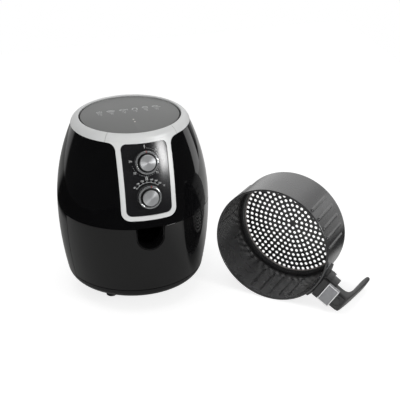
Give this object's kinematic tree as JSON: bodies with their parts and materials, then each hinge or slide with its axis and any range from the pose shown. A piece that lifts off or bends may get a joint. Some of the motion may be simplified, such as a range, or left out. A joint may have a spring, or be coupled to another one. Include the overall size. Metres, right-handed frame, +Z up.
{
  "type": "air fryer",
  "caption": "Egg-shaped gloss black air fryer with silver trim, dial controls and a pull-out drawer; its perforated basket with pistol-grip handle lies beside it.",
  "frame": {"origin": "on the housing's own upright axis, in the plane of the table under its four feet", "axes": "-Y is the front with the dials and the drawer, +Z is up, +X is the side where the basket lies"},
  "size_m": [0.5533, 0.3806, 0.3444],
  "materials": {
    "gloss_shell": "polished",
    "gloss_panel": "polished",
    "silver_trim": "satin",
    "disc_grey": "fine matt",
    "black_nylon": "matt",
    "pale_nylon": "matt",
    "handle_plastic": "satin",
    "clear_plastic": "clear",
    "chrome_trim": "polished",
    "spun_cap": "spun",
    "red_mark": "polished",
    "sheet_steel": "rolled",
    "zinc_parts": "zinc plated",
    "heater_tube": "heat tinted",
    "copper": "plain",
    "nonstick": "satin non-stick coating",
    "board": "solder mask",
    "black_rubber": "matt"
  },
  "bodies": {
    "housing": {"upper_shell": "gloss_shell", "lower_shell": "gloss_shell", "base_plate": "black_nylon", "feet": "black_rubber", "base_screws": "zinc_parts", "top_ring": "silver_trim", "front_frame": "silver_trim", "control_panel": "gloss_panel", "top_panel": "disc_grey", "top_seal": "black_rubber", "lamp_lenses": "clear_plastic", "lamp_board": "board", "control_bracket": "sheet_steel", "timer_unit": "zinc_parts", "timer_bell": "sheet_steel", "thermostat": "zinc_parts", "thermostat_bulb": "copper", "deck_plate": "sheet_steel", "heat_bowl": "sheet_steel", "heating_element": "heater_tube", "element_clips": "zinc_parts", "thermal_cutout": "black_nylon", "motor_bracket": "sheet_steel", "motor": "zinc_parts", "exhaust_duct": "sheet_steel", "exhaust_grille": "black_nylon", "chamber_liner": "sheet_steel", "pan_rails": "black_nylon", "micro_switch": "black_nylon", "cord_gland": "black_rubber"},
    "timer_knob": {"timer_spindle": "sheet_steel", "timer_core": "black_nylon", "timer_skirt": "chrome_trim", "timer_cap": "spun_cap", "timer_pointer": "red_mark"},
    "temperature_knob": {"thermo_spindle": "sheet_steel", "thermo_core": "black_nylon", "thermo_skirt": "chrome_trim", "thermo_cap": "spun_cap", "thermo_pointer": "red_mark"},
    "fan": {"motor_shaft": "sheet_steel", "hot_fan": "sheet_steel", "fan_nut": "zinc_parts", "cooling_fan": "pale_nylon"},
    "drawer": {"drawer_front": "gloss_panel", "drawer_inner": "black_nylon", "drawer_collar": "black_nylon", "pan": "nonstick", "pan_bracket": "sheet_steel", "pan_screws": "zinc_parts"},
    "basket": {"basket_wall": "nonstick", "basket_floor": "nonstick", "handle_bracket": "sheet_steel", "handle_rivets": "zinc_parts", "handle_base": "handle_plastic", "handle_body": "handle_plastic", "handle_screws": "zinc_parts"},
    "button": {"release_button": "handle_plastic"},
    "guard": {"button_guard": "clear_plastic"}
  },
  "joints": [
    {"name": "timer_turn", "type": "hinge", "parent": "housing", "child": "timer_knob", "pos_m": [0, -0.1194, 0.299], "axis": [0, 0.9463, -0.3233], "range_deg": [0, 276]},
    {"name": "temperature_turn", "type": "hinge", "parent": "housing", "child": "temperature_knob", "pos_m": [0, -0.13428, 0.241], "axis": [0, 0.9851, -0.1721], "range_deg": [-98, 36]},
    {"name": "fan_spin", "type": "hinge", "parent": "housing", "child": "fan", "pos_m": [0, 0, 0.25], "axis": [0, 0, 1], "continuous": true},
    {"name": "drawer_slide", "type": "slide", "parent": "housing", "child": "drawer", "axis": [0, -1, 0], "range_m": [0, 0.24]},
    {"name": "basket_lift", "type": "slide", "parent": "housing", "child": "basket", "axis": [0, 0, 1], "range_m": [0, 0.3]},
    {"name": "button_press", "type": "slide", "parent": "basket", "child": "button", "axis": [0.6715, 0.7405, -0.0263], "range_m": [0, 0.004], "stiffness_N_per_m": 400},
    {"name": "guard_slide", "type": "slide", "parent": "basket", "child": "guard", "axis": [0.6153, -0.577, -0.5371], "range_m": [0, 0.0245]}
  ]
}
